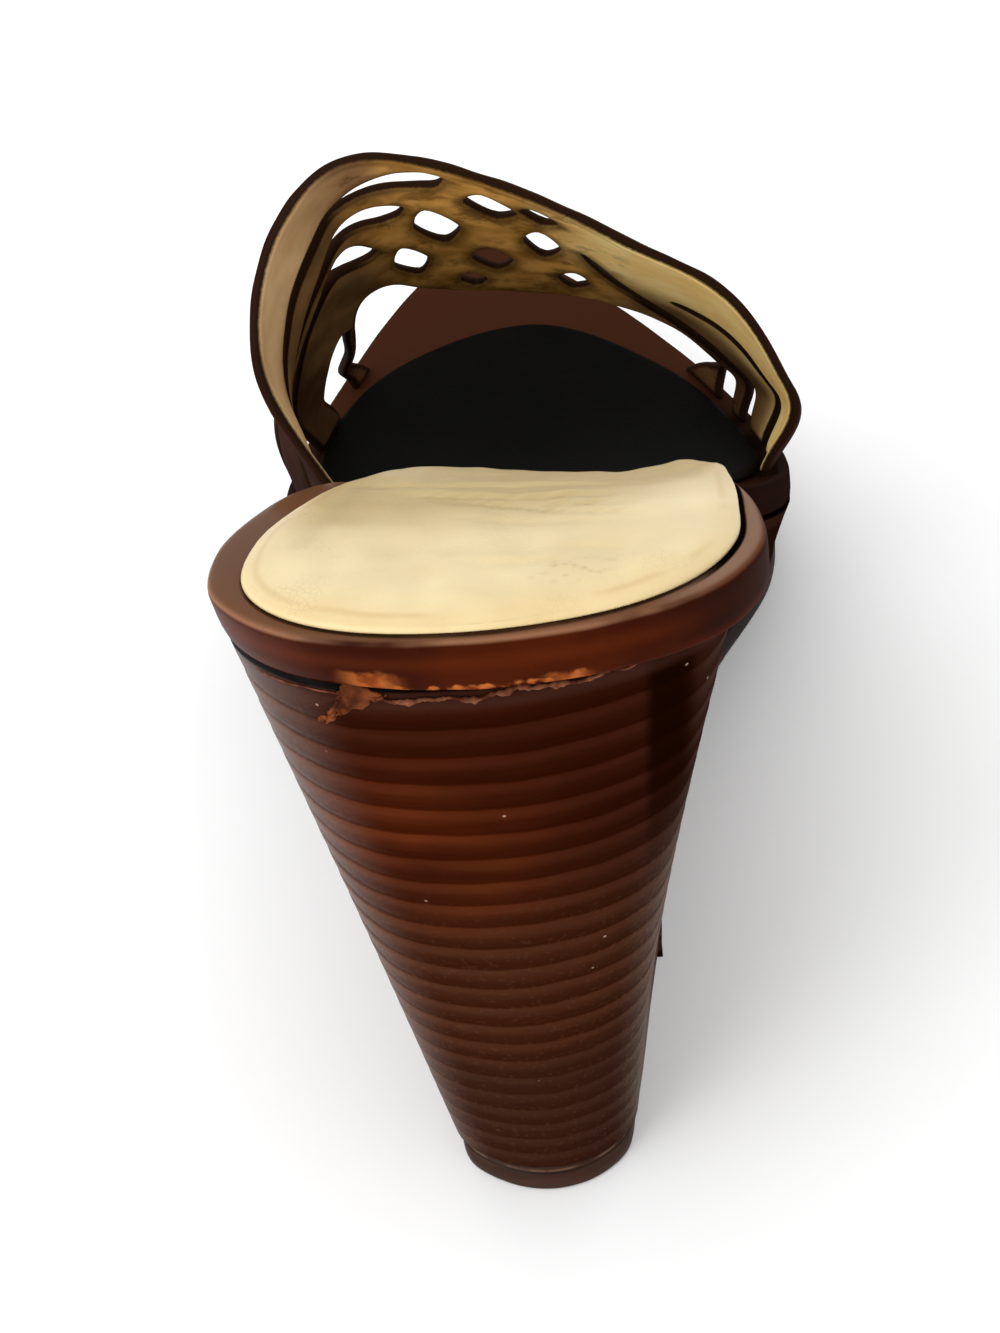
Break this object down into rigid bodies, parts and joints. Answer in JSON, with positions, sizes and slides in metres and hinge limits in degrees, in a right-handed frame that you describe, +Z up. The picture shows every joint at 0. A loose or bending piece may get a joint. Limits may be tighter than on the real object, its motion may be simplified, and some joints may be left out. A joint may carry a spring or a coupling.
{
  "type": "wedge mule",
  "caption": "Open-toe mule for the right foot: crossing straps cut in one leather upper, on a tall tapered wedge with stacked layers and a padded heel seat.",
  "frame": {"origin": "on the ground, under the middle of the shoe's bounding box", "axes": "+Y towards the toe, +X towards the outer side of the right foot, +Z up"},
  "size_m": [0.0882, 0.23, 0.1069],
  "materials": {
    "lift_rubber": "satin",
    "sole_rubber": "satin",
    "stacked_leather": "polished",
    "wrapped_leather": "polished",
    "gold_leather": "metallic sheen",
    "black_leather": "matt",
    "strap_leather": "satin"
  },
  "bodies": {
    "root": {"heel_lift": "lift_rubber", "outsole": "sole_rubber", "wedge": "stacked_leather", "platform": "wrapped_leather", "heel_sock": "gold_leather", "forefoot_sock": "black_leather", "strap_upper": "strap_leather"}
  },
  "joints": []
}
